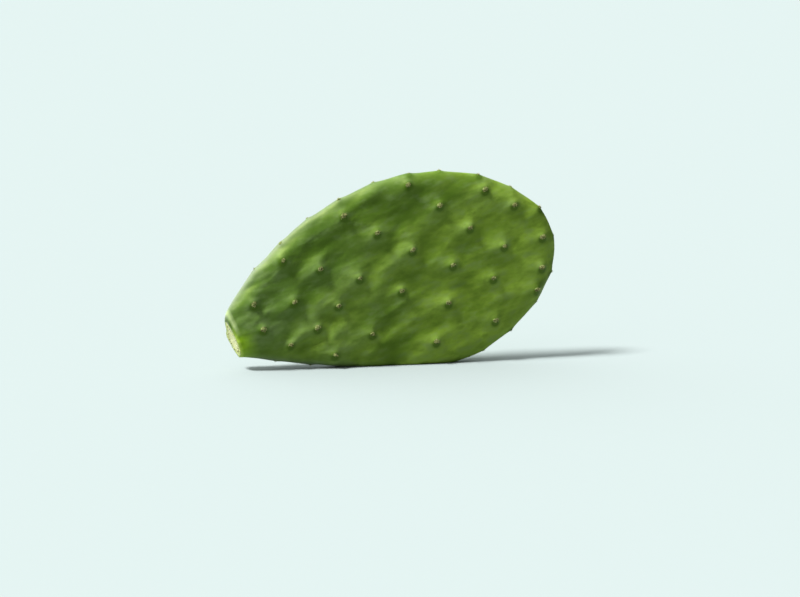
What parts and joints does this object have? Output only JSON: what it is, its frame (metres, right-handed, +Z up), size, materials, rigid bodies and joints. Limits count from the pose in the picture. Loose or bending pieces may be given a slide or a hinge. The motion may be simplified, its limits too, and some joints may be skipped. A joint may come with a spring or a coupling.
{
  "type": "prickly pear cactus pad",
  "caption": "Flat oval cactus pad with felted areoles on low swellings, cut at its base, standing on its long edge.",
  "frame": {"origin": "on the flat spot that the pad rests on, near its middle", "axes": "+Z up, +X along the pad from its cut base to its tip, -Y out of its front face"},
  "size_m": [0.2252, 0.0223, 0.1298],
  "materials": {
    "skin": "waxy satin",
    "areole": "felt",
    "flesh": "moist satin"
  },
  "bodies": {
    "root": {"cactus_pad": "skin"}
  },
  "joints": []
}
